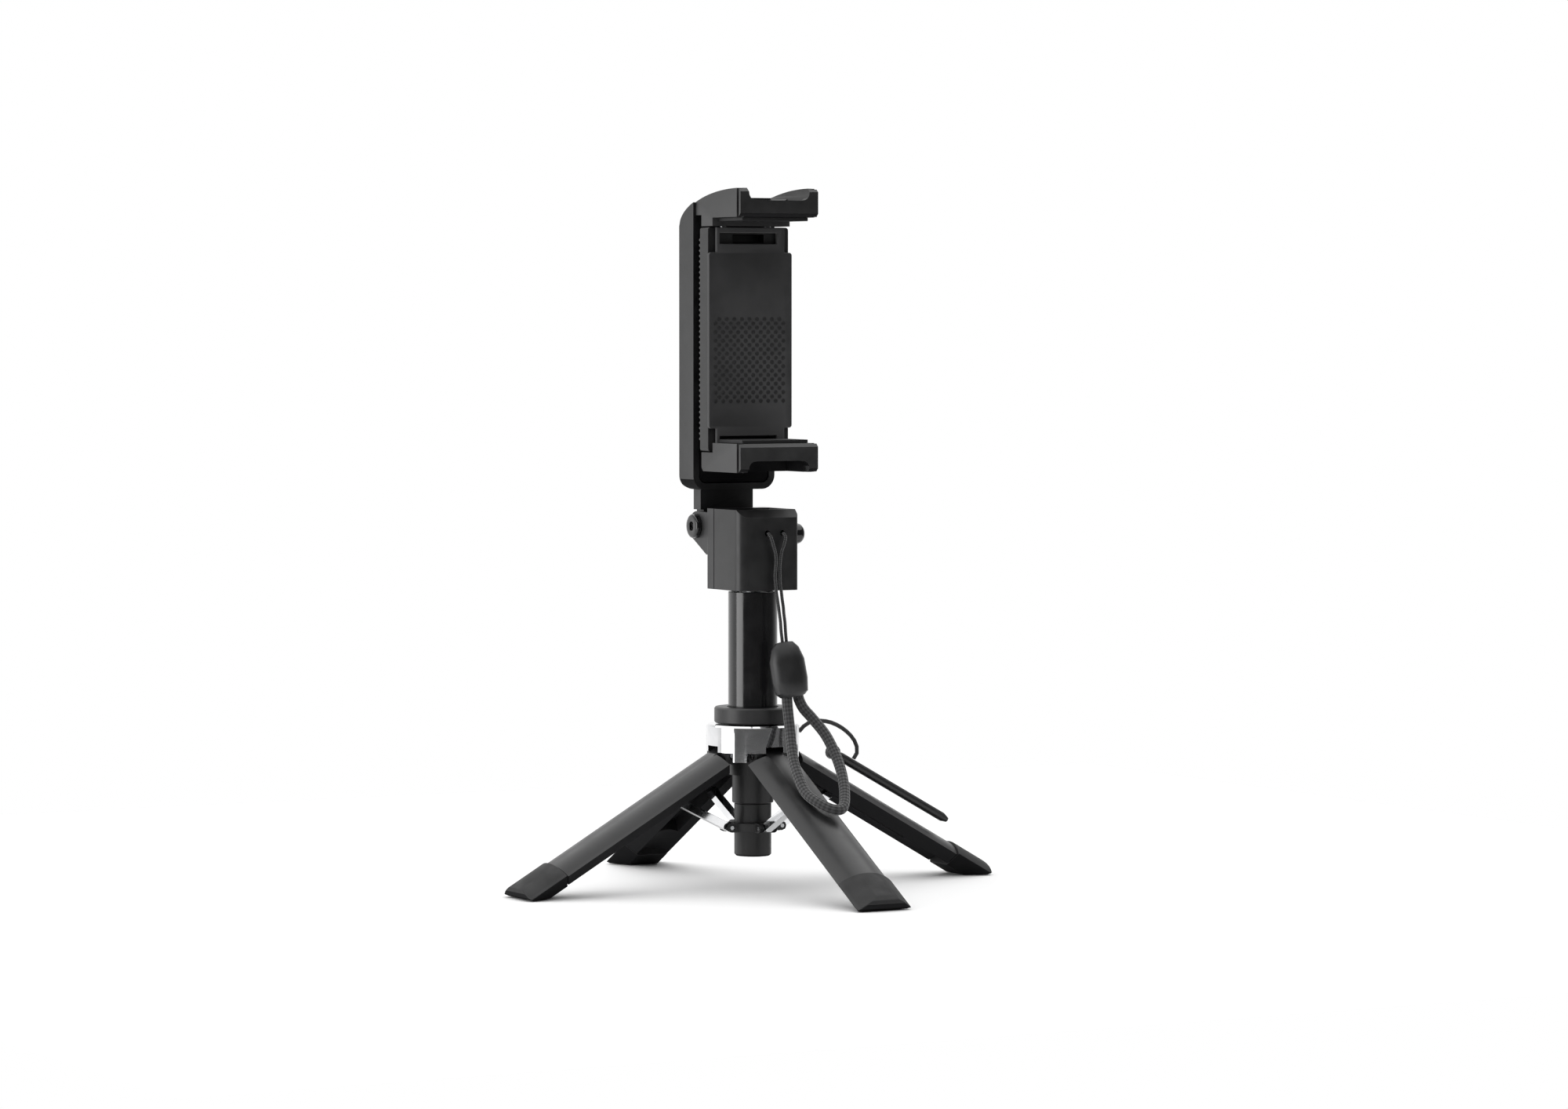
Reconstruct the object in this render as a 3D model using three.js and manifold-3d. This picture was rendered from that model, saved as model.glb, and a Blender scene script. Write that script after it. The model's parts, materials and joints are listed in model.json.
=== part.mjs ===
// A pocket selfie stick: a phone clamp on a folding arm, a telescopic pole, and four legs that
// open under a hub. Millimetres, +Z up. The origin is on the pole's axis, at the floor that the
// feet stand on. The phone faces -Y. The legs point along +X, -X, +Y and -Y.
import * as THREE from "three";
import { mergeVertices } from "three/addons/utils/BufferGeometryUtils.js";
import Module from "manifold-3d";

const wasm = await Module();
wasm.setup();

// ---- driving dimensions -------------------------------------------------------------------
const GAP = 0.3; // running and assembly gap between neighbouring pieces
const ROUND_SIDES = 28;
const TUBE_SIDES = 24;
const SMALL_SIDES = 16;

const LEG_OPEN_ANGLE = 60.4; // degrees between a leg along the axis and a leg on the floor
const LEG_PIVOT = { r: 9.2, z: 37 };
const LEG = { outer: 11.7, inner: 7.5, half: 43, start: 3.2, end: 61, skin: 1.4 };
const LEG_GROOVE = { half: 3.2, start: 12, end: 49 };
const FOOT = { outer: 12.3, chord: 5.1, end: 78, toe: 74.2 };
const PIVOT_PIN = { radius: 0.8, half: 5.2 };

const HUB = { outer: 13, barrel: 6.7, bore: 6.1, bottom: 31.2, shelf: 39.6, top: 45.4 };
const SKIRT = { inner: 10.4, bottom: 37.9, slot: 2.8, tab: 2, low: 35.4 }; // open at each leg
const LUG = { radius: 2.5, inside: 2.8, outside: 5.2 };
const POST = { outer: 5.8, inner: 5.0, bottom: 23.3, top: 44.4 };
const COLLAR = { outer: 10.8, bottom: 45.7, top: 50.2 };
const POLE = { outer: 6.9, inner: 6.35, bottom: 46.1, top: 82.4 };

const SLEEVE = { outer: 5.2, flange: 7.0, stem: 4.7, bore: 4.2, bottom: 8.4, shoulder: 23, top: 47 };
const STRUT_PIVOT = { r: 8.0, z: 16.6 };
const STRUT = { length: 18, angle: 26.45, half: 1.3, radius: 1.1, pin: 0.6 };

const SECTIONS = [
  { name: "pole_section_1", outer: 6.05, inner: 5.5, bottom: 50, top: 81.6 },
  { name: "pole_section_2", outer: 5.2, inner: 4.65, bottom: 50, top: 81.9 },
  { name: "pole_section_3", outer: 3.85, inner: 3.4, bottom: 11, top: 82.1, bush: 4.35 },
  { name: "pole_section_4", outer: 3.1, inner: 2.65, bottom: 11, top: 82.3 },
  { name: "pole_section_5", outer: 2.35, inner: 1.85, bottom: 11, top: 99 },
];

const HEAD = { x: 9.4, front: -9.6, split: 5.5, back: 10.2, bottom: 83, top: 105.5, wall: 1.6 };
const BUTTON = { y: -4.3, z: 98.5, stem: 2.9, flange: 3.4, proud: 4.2 };
const LANYARD_HOLES = [-0.6, 4.2];
const LANYARD_Z = 99;

const HINGE = { y: 16, z: 100.3, radius: 4.2, pin: 1.3 };
const KNUCKLES = [[-7.4, -3.8], [-1.8, 1.8], [3.8, 7.4]];
const EARS = [[-9.3, -7.7], [-3.5, -2.1], [2.1, 3.5], [7.7, 9.3]];
const ARM = { x: 13, front: 10.9, back: 19.3, bottom: 110.6, wall: 1.8, corner: 4 };
const NECK = { x: 8.4, front: 15.2, bottom: 104.9 };

const SWIVEL_Z = 152.5;
const CLAMP = { x: 12.8, front: 2.6, back: 7.4, bottom: 121.6, top: 184 };
const PANEL = { x: 13.2, front: 1.2, back: 2.3, low: 128, high: 177, tongue: 10.8 };
const JAW = { x: 12.3, tip: -15.3, step: 0.9, lowTop: 124, highBottom: 186.6, bottom: 116 };
const HOOD = { back: ARM.front - GAP, bottom: 187.4 }; // the upper jaw over the clamp's back
const LIP_SCOOP = { left: -9.6, right: 9.6, blend: 2.6, lowZ: 119.2, highZ: 191.2 };
const LIP_GROOVE = { behind: 0.9, width: 1.3, deep: 1.5 }; // between each lip and its side walls
const SHOULDER = { y: -14.7, z: 184.2, deep: 34, tall: 10.4 }; // the ellipse over jaw and arm
const RODS = { x: 7, y: 4.4, radius: 1.0, bottom: 131, top: 189.6 };
const CHANNEL = { half: 2.3, bottom: 129.5, top: 178.5 }; // for each guide rod and its spring
const SLOT = { left: -9.8, right: 8.4, tall: 3, high: PANEL.high + 2.4, low: PANEL.low - 5.2 };

const CORD_RADIUS = 1.5;
const STRING_RADIUS = 0.45;

// ---- solids ---------------------------------------------------------------------------------
const rad = THREE.MathUtils.degToRad;

function manifoldOf(geometry) {
  const bare = geometry.index ? geometry.toNonIndexed() : geometry.clone();
  bare.deleteAttribute("normal");
  bare.deleteAttribute("uv");
  const merged = mergeVertices(bare, 1e-4);
  const corners = merged.index.array;
  const kept = [];
  for (let i = 0; i < corners.length; i += 3) {
    const [a, b, c] = corners.slice(i, i + 3);
    if (a !== b && b !== c && c !== a) kept.push(a, b, c);
  }
  const build = (triVerts) =>
    new wasm.Manifold(
      new wasm.Mesh({
        numProp: 3,
        vertProperties: new Float32Array(merged.attributes.position.array),
        triVerts: new Uint32Array(triVerts),
      }),
    );
  const made = build(kept);
  return made.volume() > 0 ? made : build(kept.reverse());
}

function geometryOf(manifold) {
  const mesh = manifold.getMesh();
  return new THREE.BufferGeometry()
    .setAttribute("position", new THREE.BufferAttribute(mesh.vertProperties, 3))
    .setIndex(new THREE.BufferAttribute(mesh.triVerts, 1));
}

const join = (first, ...others) =>
  geometryOf(others.reduce((sum, other) => sum.add(manifoldOf(other)), manifoldOf(first)));

const cut = (first, ...tools) =>
  geometryOf(tools.reduce((rest, tool) => rest.subtract(manifoldOf(tool)), manifoldOf(first)));

const common = (first, second) => geometryOf(manifoldOf(first).intersect(manifoldOf(second)));

function block([x0, x1], [y0, y1], [z0, z1]) {
  const box = new THREE.BoxGeometry(x1 - x0, y1 - y0, z1 - z0);
  return box.translate((x0 + x1) / 2, (y0 + y1) / 2, (z0 + z1) / 2);
}

// A body of revolution about Z from [radius, height] points.
function turned(outline, sides = ROUND_SIDES) {
  const points = outline.map(([r, z]) => new THREE.Vector2(r, z));
  if (outline[0][0] > 0) points.push(points[0].clone());
  return geometryOf(manifoldOf(new THREE.LatheGeometry(points, sides).rotateX(Math.PI / 2)));
}

const tube = (outer, inner, z0, z1, sides) =>
  turned([[inner, z0], [outer, z0], [outer, z1], [inner, z1]], sides);

const rod = (radius, z0, z1, sides = SMALL_SIDES) =>
  turned([[0, z0], [radius, z0], [radius, z1], [0, z1]], sides);

const toX = (geometry, y, z) => geometry.rotateY(Math.PI / 2).translate(0, y, z);
const toY = (geometry, x, z) => geometry.rotateX(-Math.PI / 2).translate(x, 0, z);

function outlineShape(points) {
  return new THREE.Shape(points.map(([a, b]) => new THREE.Vector2(a, b)));
}

// A rectangle whose corners are arcs: radii for the low-left, low-right, high-right, high-left.
function roundedShape([a0, a1], [b0, b1], [ll, lr, hr, hl]) {
  const shape = new THREE.Shape();
  shape.moveTo(a0 + ll, b0);
  shape.lineTo(a1 - lr, b0);
  shape.absarc(a1 - lr, b0 + lr, lr, -Math.PI / 2, 0);
  shape.lineTo(a1, b1 - hr);
  shape.absarc(a1 - hr, b1 - hr, hr, 0, Math.PI / 2);
  shape.lineTo(a0 + hl, b1);
  shape.absarc(a0 + hl, b1 - hl, hl, Math.PI / 2, Math.PI);
  shape.lineTo(a0, b0 + ll);
  shape.absarc(a0 + ll, b0 + ll, ll, Math.PI, 1.5 * Math.PI);
  return shape;
}

function extruded(shape, depth, curveSegments = 6) {
  return new THREE.ExtrudeGeometry(shape, { depth, bevelEnabled: false, curveSegments });
}

// A (Y, Z) outline run along X, an (X, Z) outline run along Y, an (X, Y) outline run along Z.
function alongX(shape, x0, x1, segments) {
  const basis = new THREE.Matrix4().makeBasis(
    new THREE.Vector3(0, 1, 0),
    new THREE.Vector3(0, 0, 1),
    new THREE.Vector3(1, 0, 0),
  );
  return extruded(shape, x1 - x0, segments).applyMatrix4(basis).translate(x0, 0, 0);
}

function alongY(shape, y0, y1, segments) {
  return extruded(shape, y1 - y0, segments).rotateX(Math.PI / 2).translate(0, y1, 0);
}

const alongZ = (shape, z0, z1, segments) => extruded(shape, z1 - z0, segments).translate(0, 0, z0);

function discShape(a, b, radius) {
  return new THREE.Shape().absarc(a, b, radius, 0, 2 * Math.PI);
}

function cordAlong(points, radius, steps, sides = 8) {
  const section = Array.from({ length: sides }, (_, i) => {
    const turn = (2 * Math.PI * i) / sides;
    return [radius * Math.cos(turn), radius * Math.sin(turn)];
  });
  const path = new THREE.CatmullRomCurve3(points.map((p) => new THREE.Vector3(...p)));
  return new THREE.ExtrudeGeometry(outlineShape(section), { steps, extrudePath: path });
}

// ---- materials and nodes ----------------------------------------------------------------------
const FINISHES = {
  shell: { color: 0x1b1b1c, roughness: 0.42, metalness: 0 },
  gloss: { color: 0x0d0d0e, roughness: 0.18, metalness: 0 },
  rubber: { color: 0x17171a, roughness: 0.85, metalness: 0 },
  silver: { color: 0xd9dadb, roughness: 0.22, metalness: 1 },
  steel: { color: 0x9da0a3, roughness: 0.3, metalness: 1 },
  cord: { color: 0x2b2b2d, roughness: 0.8, metalness: 0 },
  board: { color: 0x1d5a36, roughness: 0.5, metalness: 0 },
};

const stick = new THREE.Group();

function node(name, geometry, finish, holder = stick) {
  const mesh = new THREE.Mesh(geometry, new THREE.MeshStandardMaterial(FINISHES[finish]));
  mesh.name = name;
  holder.add(mesh);
  return mesh;
}

// ---- the hub and the fixed pole ----------------------------------------------------------------
function hubShell() {
  const body = turned([
    [HUB.bore, HUB.bottom],
    [HUB.barrel, HUB.bottom],
    [HUB.barrel, HUB.shelf],
    [HUB.outer - 0.5, HUB.shelf],
    [HUB.outer, HUB.shelf + 0.5],
    [HUB.outer, HUB.top - 0.5],
    [HUB.outer - 0.5, HUB.top],
    [HUB.bore, HUB.top],
  ]);
  const lugs = [0, 90, 180, 270].flatMap((turn) =>
    [[-LUG.outside, -LUG.inside], [LUG.inside, LUG.outside]].map(([y0, y1]) => {
      const eye = alongY(discShape(LEG_PIVOT.r, LEG_PIVOT.z, LUG.radius), y0, y1, 6);
      const web = block(
        [HUB.bore + 0.3, LEG_PIVOT.r + LUG.radius],
        [y0, y1],
        [LEG_PIVOT.z, HUB.shelf + 0.6],
      );
      return join(eye, web).rotateZ(rad(turn));
    }),
  );
  const skirt = tube(HUB.outer, SKIRT.inner, SKIRT.bottom, HUB.shelf + 0.7);
  const slots = [0, 90].map((turn) =>
    block([-20, 20], [-SKIRT.slot, SKIRT.slot], [30, HUB.shelf]).rotateZ(rad(turn)),
  );
  const tabs = common(
    tube(HUB.outer, SKIRT.inner, SKIRT.low, HUB.shelf + 0.7),
    join(
      ...[45, 135, 225, 315].map((turn) =>
        block([5, 20], [-SKIRT.tab, SKIRT.tab], [30, 45]).rotateZ(rad(turn)),
      ),
    ),
  );
  const holes = [0, 90].map((turn) => pivotHoles().rotateZ(rad(turn)));
  return cut(join(body, cut(skirt, ...slots), tabs, ...lugs), ...holes);
}

// The cutters for the two opposite leg pivots that lie along one line of lugs.
function pivotHoles() {
  const radius = PIVOT_PIN.radius + GAP;
  const one = (x) =>
    alongY(discShape(x, LEG_PIVOT.z, radius), -LUG.outside - 1, LUG.outside + 1, 5);
  return join(one(LEG_PIVOT.r), one(-LEG_PIVOT.r));
}

node("hub_shell", hubShell(), "silver");
node("centre_post", tube(POST.outer, POST.inner, POST.bottom, POST.top), "shell");
node(
  "hub_collar",
  turned([
    [POLE.outer + GAP, COLLAR.bottom],
    [COLLAR.outer, COLLAR.bottom],
    [COLLAR.outer, COLLAR.top - 0.5],
    [COLLAR.outer - 0.5, COLLAR.top],
    [POLE.outer + GAP, COLLAR.top],
  ]),
  "shell",
);
node("outer_tube", tube(POLE.outer, POLE.inner, POLE.bottom, POLE.top), "gloss");

SECTIONS.forEach(({ name, outer, inner, bottom, top, bush }) => {
  const step = bush ? [[outer, top - 3.6], [bush, top - 3.6], [bush, top]] : [[outer, top]];
  node(name, turned([[inner, bottom], [outer, bottom], ...step, [inner, top]], TUBE_SIDES), "steel");
});

// ---- legs, feet, spreader and struts -------------------------------------------------------------
function legShell() {
  const { outer, inner, half, start, end, skin } = LEG;
  const sector = new THREE.Shape();
  sector.absarc(0, 0, outer, -rad(half), rad(half), false);
  sector.absarc(0, 0, inner, rad(half), -rad(half), true);
  const shell = alongZ(sector, LEG_PIVOT.z - end, LEG_PIVOT.z - start, 8);
  const groove = block(
    [0, LEG_PIVOT.r + skin],
    [-LEG_GROOVE.half, LEG_GROOVE.half],
    [LEG_PIVOT.z - LEG_GROOVE.end, LEG_PIVOT.z - LEG_GROOVE.start],
  );
  const halfTongue = LUG.inside - GAP;
  const eye = alongY(discShape(LEG_PIVOT.r, LEG_PIVOT.z, 2.1), -halfTongue, halfTongue, 8);
  const tongue = block(
    [LEG_PIVOT.r - 1.6, LEG_PIVOT.r + 2.3],
    [-halfTongue, halfTongue],
    [LEG_PIVOT.z - start - 0.8, LEG_PIVOT.z],
  );
  return cut(join(cut(shell, groove), eye, tongue), pivotHoles());
}

function footCap() {
  const { outer, chord, end, toe } = FOOT;
  const cap = new THREE.Shape();
  cap.absarc(0, 0, outer, -rad(LEG.half), rad(LEG.half), false);
  cap.lineTo(chord, chord * Math.tan(rad(LEG.half)));
  cap.lineTo(chord, -chord * Math.tan(rad(LEG.half)));
  const sole = alongZ(cap, LEG_PIVOT.z - end, LEG_PIVOT.z - LEG.end - GAP, 8);
  const side = outlineShape([
    [0, 0],
    [toe - 1.8, 0],
    [toe - 0.5, 0.6],
    [toe, 1.8],
    [toe, 2.8],
    [toe - 0.8, 3.8],
    [toe - 4.5, 8],
    [toe - 4.5, 60],
    [0, 60],
  ]);
  return common(opened(sole), alongY(side, -50, 50));
}

// Turns a piece of the +X leg from its closed place along the axis to its open place.
function opened(geometry) {
  return geometry
    .translate(-LEG_PIVOT.r, 0, -LEG_PIVOT.z)
    .rotateY(-rad(LEG_OPEN_ANGLE))
    .translate(LEG_PIVOT.r, 0, LEG_PIVOT.z);
}

function strut() {
  const bar = alongY(
    roundedShape(
      [-STRUT.radius, STRUT.length + STRUT.radius],
      [-STRUT.radius, STRUT.radius],
      Array(4).fill(STRUT.radius),
    ),
    -STRUT.half,
    STRUT.half,
    3,
  );
  const hole = alongY(discShape(0, 0, STRUT.pin + 0.2), -3, 3, 4);
  return cut(bar, hole).rotateY(-rad(STRUT.angle)).translate(STRUT_PIVOT.r, 0, STRUT_PIVOT.z);
}

const LEG_SIDES = { right: 0, back: 90, left: 180, front: 270 };
for (const [side, turn] of Object.entries(LEG_SIDES)) {
  const quarter = new THREE.Group();
  quarter.rotation.z = rad(turn);
  stick.add(quarter);
  node(`leg_${side}`, opened(legShell()), "shell", quarter);
  node(`foot_${side}`, footCap(), "rubber", quarter);
  const pin = rod(PIVOT_PIN.radius, -PIVOT_PIN.half, PIVOT_PIN.half, 12);
  node(`leg_pin_${side}`, toY(pin, LEG_PIVOT.r, LEG_PIVOT.z), "steel", quarter);
  node(`strut_${side}`, strut(), "silver", quarter);
  const strutPin = rod(STRUT.pin, -2.7, 2.7, 10);
  node(`strut_pin_${side}`, toY(strutPin, STRUT_PIVOT.r, STRUT_PIVOT.z), "steel", quarter);
}

function spreaderSleeve() {
  const { outer, flange, stem, bore, bottom, shoulder, top } = SLEEVE;
  const body = turned([
    [0, bottom],
    [outer - 0.5, bottom],
    [outer, bottom + 0.5],
    [outer, STRUT_PIVOT.z - 1.2],
    [flange, STRUT_PIVOT.z - 1.2],
    [flange, STRUT_PIVOT.z + 1.2],
    [outer, STRUT_PIVOT.z + 1.2],
    [outer, shoulder],
    [stem, shoulder],
    [stem, top],
    [bore, top],
    [bore, bottom + 1.2],
    [0, bottom + 1.2],
  ], TUBE_SIDES);
  const ears = [0, 90, 180, 270].flatMap((turn) =>
    [[-2.7, -1.6], [1.6, 2.7]].map(([y0, y1]) => {
      const eye = alongY(discShape(STRUT_PIVOT.r, STRUT_PIVOT.z, 1.3), y0, y1, 4);
      const web = block(
        [outer - 0.4, STRUT_PIVOT.r],
        [y0, y1],
        [STRUT_PIVOT.z - 1.3, STRUT_PIVOT.z + 1.3],
      );
      return join(eye, web).rotateZ(rad(turn));
    }),
  );
  // The flange is open behind each strut's end, so that the strut can turn.
  const reliefs = [0, 90, 180, 270].map((turn) =>
    block([outer + 0.9, 12], [-1.6, 1.6], [STRUT_PIVOT.z - 2, STRUT_PIVOT.z + 2]).rotateZ(rad(turn)),
  );
  const holes = [0, 90].flatMap((turn) =>
    [-STRUT_PIVOT.r, STRUT_PIVOT.r].map((x) =>
      alongY(discShape(x, STRUT_PIVOT.z, STRUT.pin + 0.2), -4, 4, 4).rotateZ(rad(turn)),
    ),
  );
  return cut(join(body, ...ears), ...reliefs, ...holes);
}
node("spreader_sleeve", spreaderSleeve(), "shell");

// ---- the tether at the hub ---------------------------------------------------------------------
const TETHER_WIRE = [
  [13.8, -2, 42.8],
  [15.4, -2, 44.3],
  [18, -2, 45.4],
  [23, -2, 45.2],
  [28, -2, 43],
  [31.6, -2, 39.6],
  [32.6, -2, 36.4],
  [31.4, -2, 34.4],
];
node("tether_wire", cordAlong(TETHER_WIRE, 0.6, 14), "cord");

function tetherPin() {
  const length = 41.5;
  const outline = [[0, 0], [1.0, 0], [1.3, 1.6], [1.3, length - 2], [0.7, length], [0, length]];
  const shaft = turned(outline, 12);
  const eye = cut(
    alongY(discShape(0, 0, 2.0), -0.9, 0.9, 8),
    alongY(discShape(0, 0, 1.0), -2, 2, 5),
  );
  return join(shaft.rotateY(rad(119)), eye.translate(-1.2, 0, 0.7)).translate(27, 0, 35.6);
}
node("tether_pin", tetherPin(), "shell");

// ---- the head on the pole -------------------------------------------------------------------------
const headOutline = roundedShape([-HEAD.x, HEAD.x], [HEAD.front, HEAD.back], [3, 1.2, 1.2, 1.2]);

function headBlock() {
  const side = outlineShape([
    [HEAD.front, HEAD.bottom],
    [HEAD.back, HEAD.bottom],
    [HEAD.back, HEAD.top],
    [HEAD.front + 2.2, HEAD.top],
    [HEAD.front, HEAD.top - 2.2],
  ]);
  const whole = alongZ(headOutline, HEAD.bottom, HEAD.top);
  const hollow = block(
    [-HEAD.x + HEAD.wall, HEAD.x - HEAD.wall],
    [HEAD.front + HEAD.wall, HEAD.back - HEAD.wall],
    [HEAD.bottom + HEAD.wall, HEAD.top - HEAD.wall],
  );
  const tubeHole = rod(SECTIONS[4].outer + GAP, HEAD.bottom - 1, HEAD.bottom + 4);
  const tray = alongZ(
    roundedShape([-HEAD.x + 2.4, HEAD.x - 1.8], [HEAD.front + 3.4, 4], [1, 1, 1, 1]),
    HEAD.top - 0.9,
    HEAD.top + 1,
    3,
  );
  return cut(common(whole, alongX(side, -20, 20)), hollow, tubeHole, tray);
}

function headFront() {
  const keep = block([-20, 20], [-20, HEAD.split - GAP / 2], [70, 120]);
  const buttonHole = toX(rod(BUTTON.stem + GAP, 5, 15), BUTTON.y, BUTTON.z);
  const cordHoles = LANYARD_HOLES.map((x) => toY(rod(0.8, -12, -7, 12), x, LANYARD_Z));
  return cut(common(headBlock(), keep), buttonHole, ...cordHoles);
}

function headRear() {
  const keep = block([-20, 20], [HEAD.split + GAP / 2, 20], [70, 120]);
  const ear = outlineShape([
    [HEAD.back - 0.8, HINGE.z + 4],
    [HINGE.y, HINGE.z + HINGE.radius],
    [HINGE.y + 2.4, HINGE.z - 3.4],
    [HEAD.back, HINGE.z - 7.8],
    [HEAD.back - 0.8, HINGE.z - 7.8],
  ]);
  const ears = EARS.map(([x0, x1]) =>
    join(alongX(discShape(HINGE.y, HINGE.z, HINGE.radius), x0, x1, 9), alongX(ear, x0, x1)),
  );
  const pinHole = toX(rod(HINGE.pin + GAP, -12, 12), HINGE.y, HINGE.z);
  return cut(join(common(headBlock(), keep), ...ears), pinHole);
}

node("head_front_shell", headFront(), "shell");
node("head_rear_shell", headRear(), "shell");
node(
  "pole_socket",
  turned([[2.65, 85], [6.6, 85], [6.6, 86.8], [4.3, 86.8], [4.3, 99.6], [2.65, 99.6]], TUBE_SIDES),
  "shell",
);
node("remote_board", block([4.9, 5.7], [-7, 4], [88, 102.6]), "board");
node("coin_cell", toX(rod(4.6, -7.4, -5.4), -1.5, 94), "steel");
node(
  "shutter_button",
  toX(
    turned([
      [0, 6.7],
      [BUTTON.flange, 6.7],
      [BUTTON.flange, 7.5],
      [BUTTON.stem, 7.5],
      [BUTTON.stem, HEAD.x + 1],
      [BUTTON.stem - 0.5, HEAD.x + 2.6],
      [BUTTON.stem - 1.4, HEAD.x + BUTTON.proud - 0.3],
      [0, HEAD.x + BUTTON.proud],
    ], SMALL_SIDES),
    BUTTON.y,
    BUTTON.z,
  ),
  "gloss",
);
node("hinge_pin", toX(rod(HINGE.pin, -9.3, 9.3), HINGE.y, HINGE.z), "steel");
const capOutline = [[0, 0], [3.4, 0], [3.4, 0.9], [2.9, 1.4], [0, 1.4]];
const hingeCap = () => turned(capOutline, SMALL_SIDES);
const rightCap = hingeCap().translate(0, 0, 9.6);
const leftCap = hingeCap().rotateX(Math.PI).translate(0, 0, -9.6);
node("hinge_cap_right", toX(rightCap, HINGE.y, HINGE.z), "gloss");
node("hinge_cap_left", toX(leftCap, HINGE.y, HINGE.z), "gloss");

// ---- the folding arm --------------------------------------------------------------------------------
const shoulder = (y) =>
  SHOULDER.z + SHOULDER.tall * Math.sqrt(1 - ((y - SHOULDER.y) / SHOULDER.deep) ** 2);

// Points of the shoulder ellipse from y0 to y1.
function shoulderPoints(y0, y1, count) {
  return Array.from({ length: count + 1 }, (_, i) => {
    const y = y0 + ((y1 - y0) * i) / count;
    return [y, shoulder(y)];
  });
}

function armShell() {
  const face = roundedShape([-ARM.x, ARM.x], [ARM.bottom, 200], [ARM.corner, ARM.corner, 1, 1]);
  const side = outlineShape([
    [ARM.front, ARM.bottom],
    [ARM.back - 1.2, ARM.bottom],
    [ARM.back, ARM.bottom + 1.2],
    ...shoulderPoints(ARM.back - 0.01, ARM.front, 14),
  ]);
  const plate = common(alongY(face, ARM.front, ARM.back), alongX(side, -20, 20));
  const hollow = alongY(
    roundedShape(
      [-ARM.x + ARM.wall, ARM.x - ARM.wall],
      [ARM.bottom + ARM.wall, 183],
      [ARM.corner - ARM.wall, ARM.corner - ARM.wall, 1, 1],
    ),
    ARM.front - 1,
    ARM.back - ARM.wall,
  );
  const neck = block([-NECK.x, NECK.x], [NECK.front, ARM.back], [NECK.bottom, ARM.bottom + 0.8]);
  const knuckles = KNUCKLES.map(([x0, x1]) =>
    join(
      alongX(discShape(HINGE.y, HINGE.z, HINGE.radius), x0, x1, 9),
      block([x0, x1], [NECK.front, ARM.back], [HINGE.z, NECK.bottom + 0.5]),
    ),
  );
  const pinHole = toX(rod(HINGE.pin + GAP, -12, 12), HINGE.y, HINGE.z);
  return cut(join(cut(plate, hollow), neck, ...knuckles), pinHole);
}

function armPlate() {
  const inset = ARM.wall + GAP;
  const plate = alongY(
    roundedShape([-ARM.x + inset, ARM.x - inset], [ARM.bottom + inset, 182.7], [2, 2, 1, 1]),
    ARM.front + GAP,
    ARM.front + 1.5,
  );
  return cut(plate, toY(rod(4.5, 5, 20, TUBE_SIDES), 0, SWIVEL_Z));
}

node("arm_shell", armShell(), "shell");
node("arm_plate", armPlate(), "shell");

// ---- the phone clamp -----------------------------------------------------------------------------------
node(
  "swivel_boss",
  toY(
    turned([
      [0, CLAMP.back + GAP],
      [7, CLAMP.back + GAP],
      [7, ARM.front - GAP],
      [4.2, ARM.front - GAP],
      [4.2, 14.6],
      [0, 14.6],
    ], TUBE_SIDES),
    0,
    SWIVEL_Z,
  ),
  "shell",
);
node("swivel_nut", toY(rod(6.4, 14.9, 16.8, 6), 0, SWIVEL_Z), "steel");

function clampFrame() {
  const plate = alongY(
    roundedShape([-CLAMP.x, CLAMP.x], [CLAMP.bottom, CLAMP.top], [0.8, 0.8, 0.8, 0.8]),
    CLAMP.front,
    CLAMP.back,
    3,
  );
  const tools = [-RODS.x, RODS.x].flatMap((x) => [
    block(
      [x - CHANNEL.half, x + CHANNEL.half],
      [CLAMP.front - 1, 6.4],
      [CHANNEL.bottom, CHANNEL.top],
    ),
    rod(RODS.radius + GAP, CHANNEL.top - 1, CLAMP.top + 1, 16).translate(x, RODS.y, 0),
  ]);
  const { left, right, tall, high, low } = SLOT;
  const recesses = [
    block([-5, 5], [CLAMP.front - 1, 6.2], [high + 0.3, high + tall - 0.3]),
    block([left + 0.3, right - 0.3], [CLAMP.front - 1, 6.2], [low + 0.3, low + tall - 0.3]),
  ];
  return cut(plate, ...tools, ...recesses);
}

function frontPanel() {
  const { x, front, back, low, high, tongue } = PANEL;
  const main = alongY(roundedShape([-x, x], [low, high], [0.8, 0.8, 0.8, 0.8]), front, back, 3);
  const ends = block([-tongue, tongue], [front, back], [CLAMP.bottom, CLAMP.top]);
  const slots = [SLOT.high, SLOT.low].map((z0) =>
    block([SLOT.left, SLOT.right], [front - 1, back + 1], [z0, z0 + SLOT.tall]),
  );
  return cut(join(main, ends), ...slots);
}

// The finger scoop through a lip: level at z, and rounded up to the ribs at both sides.
function lipScoop(z, beyond, y0, y1) {
  const { left, right, blend } = LIP_SCOOP;
  const rise = Math.sign(beyond - z) * blend;
  const scoop = new THREE.Shape().moveTo(left, beyond);
  scoop.lineTo(left, z + rise);
  scoop.quadraticCurveTo(left, z, left + blend, z);
  scoop.lineTo(right - blend, z);
  scoop.quadraticCurveTo(right, z, right, z + rise);
  scoop.lineTo(right, beyond);
  return alongY(scoop, y0, y1, 4);
}

function lipGrooves(z0, z1) {
  const y0 = JAW.tip + LIP_GROOVE.behind;
  const inside = JAW.x - LIP_GROOVE.deep;
  return [[-JAW.x - 1, -inside], [inside, JAW.x + 1]].map((across) =>
    block(across, [y0, y0 + LIP_GROOVE.width], [z0, z1]),
  );
}

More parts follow.
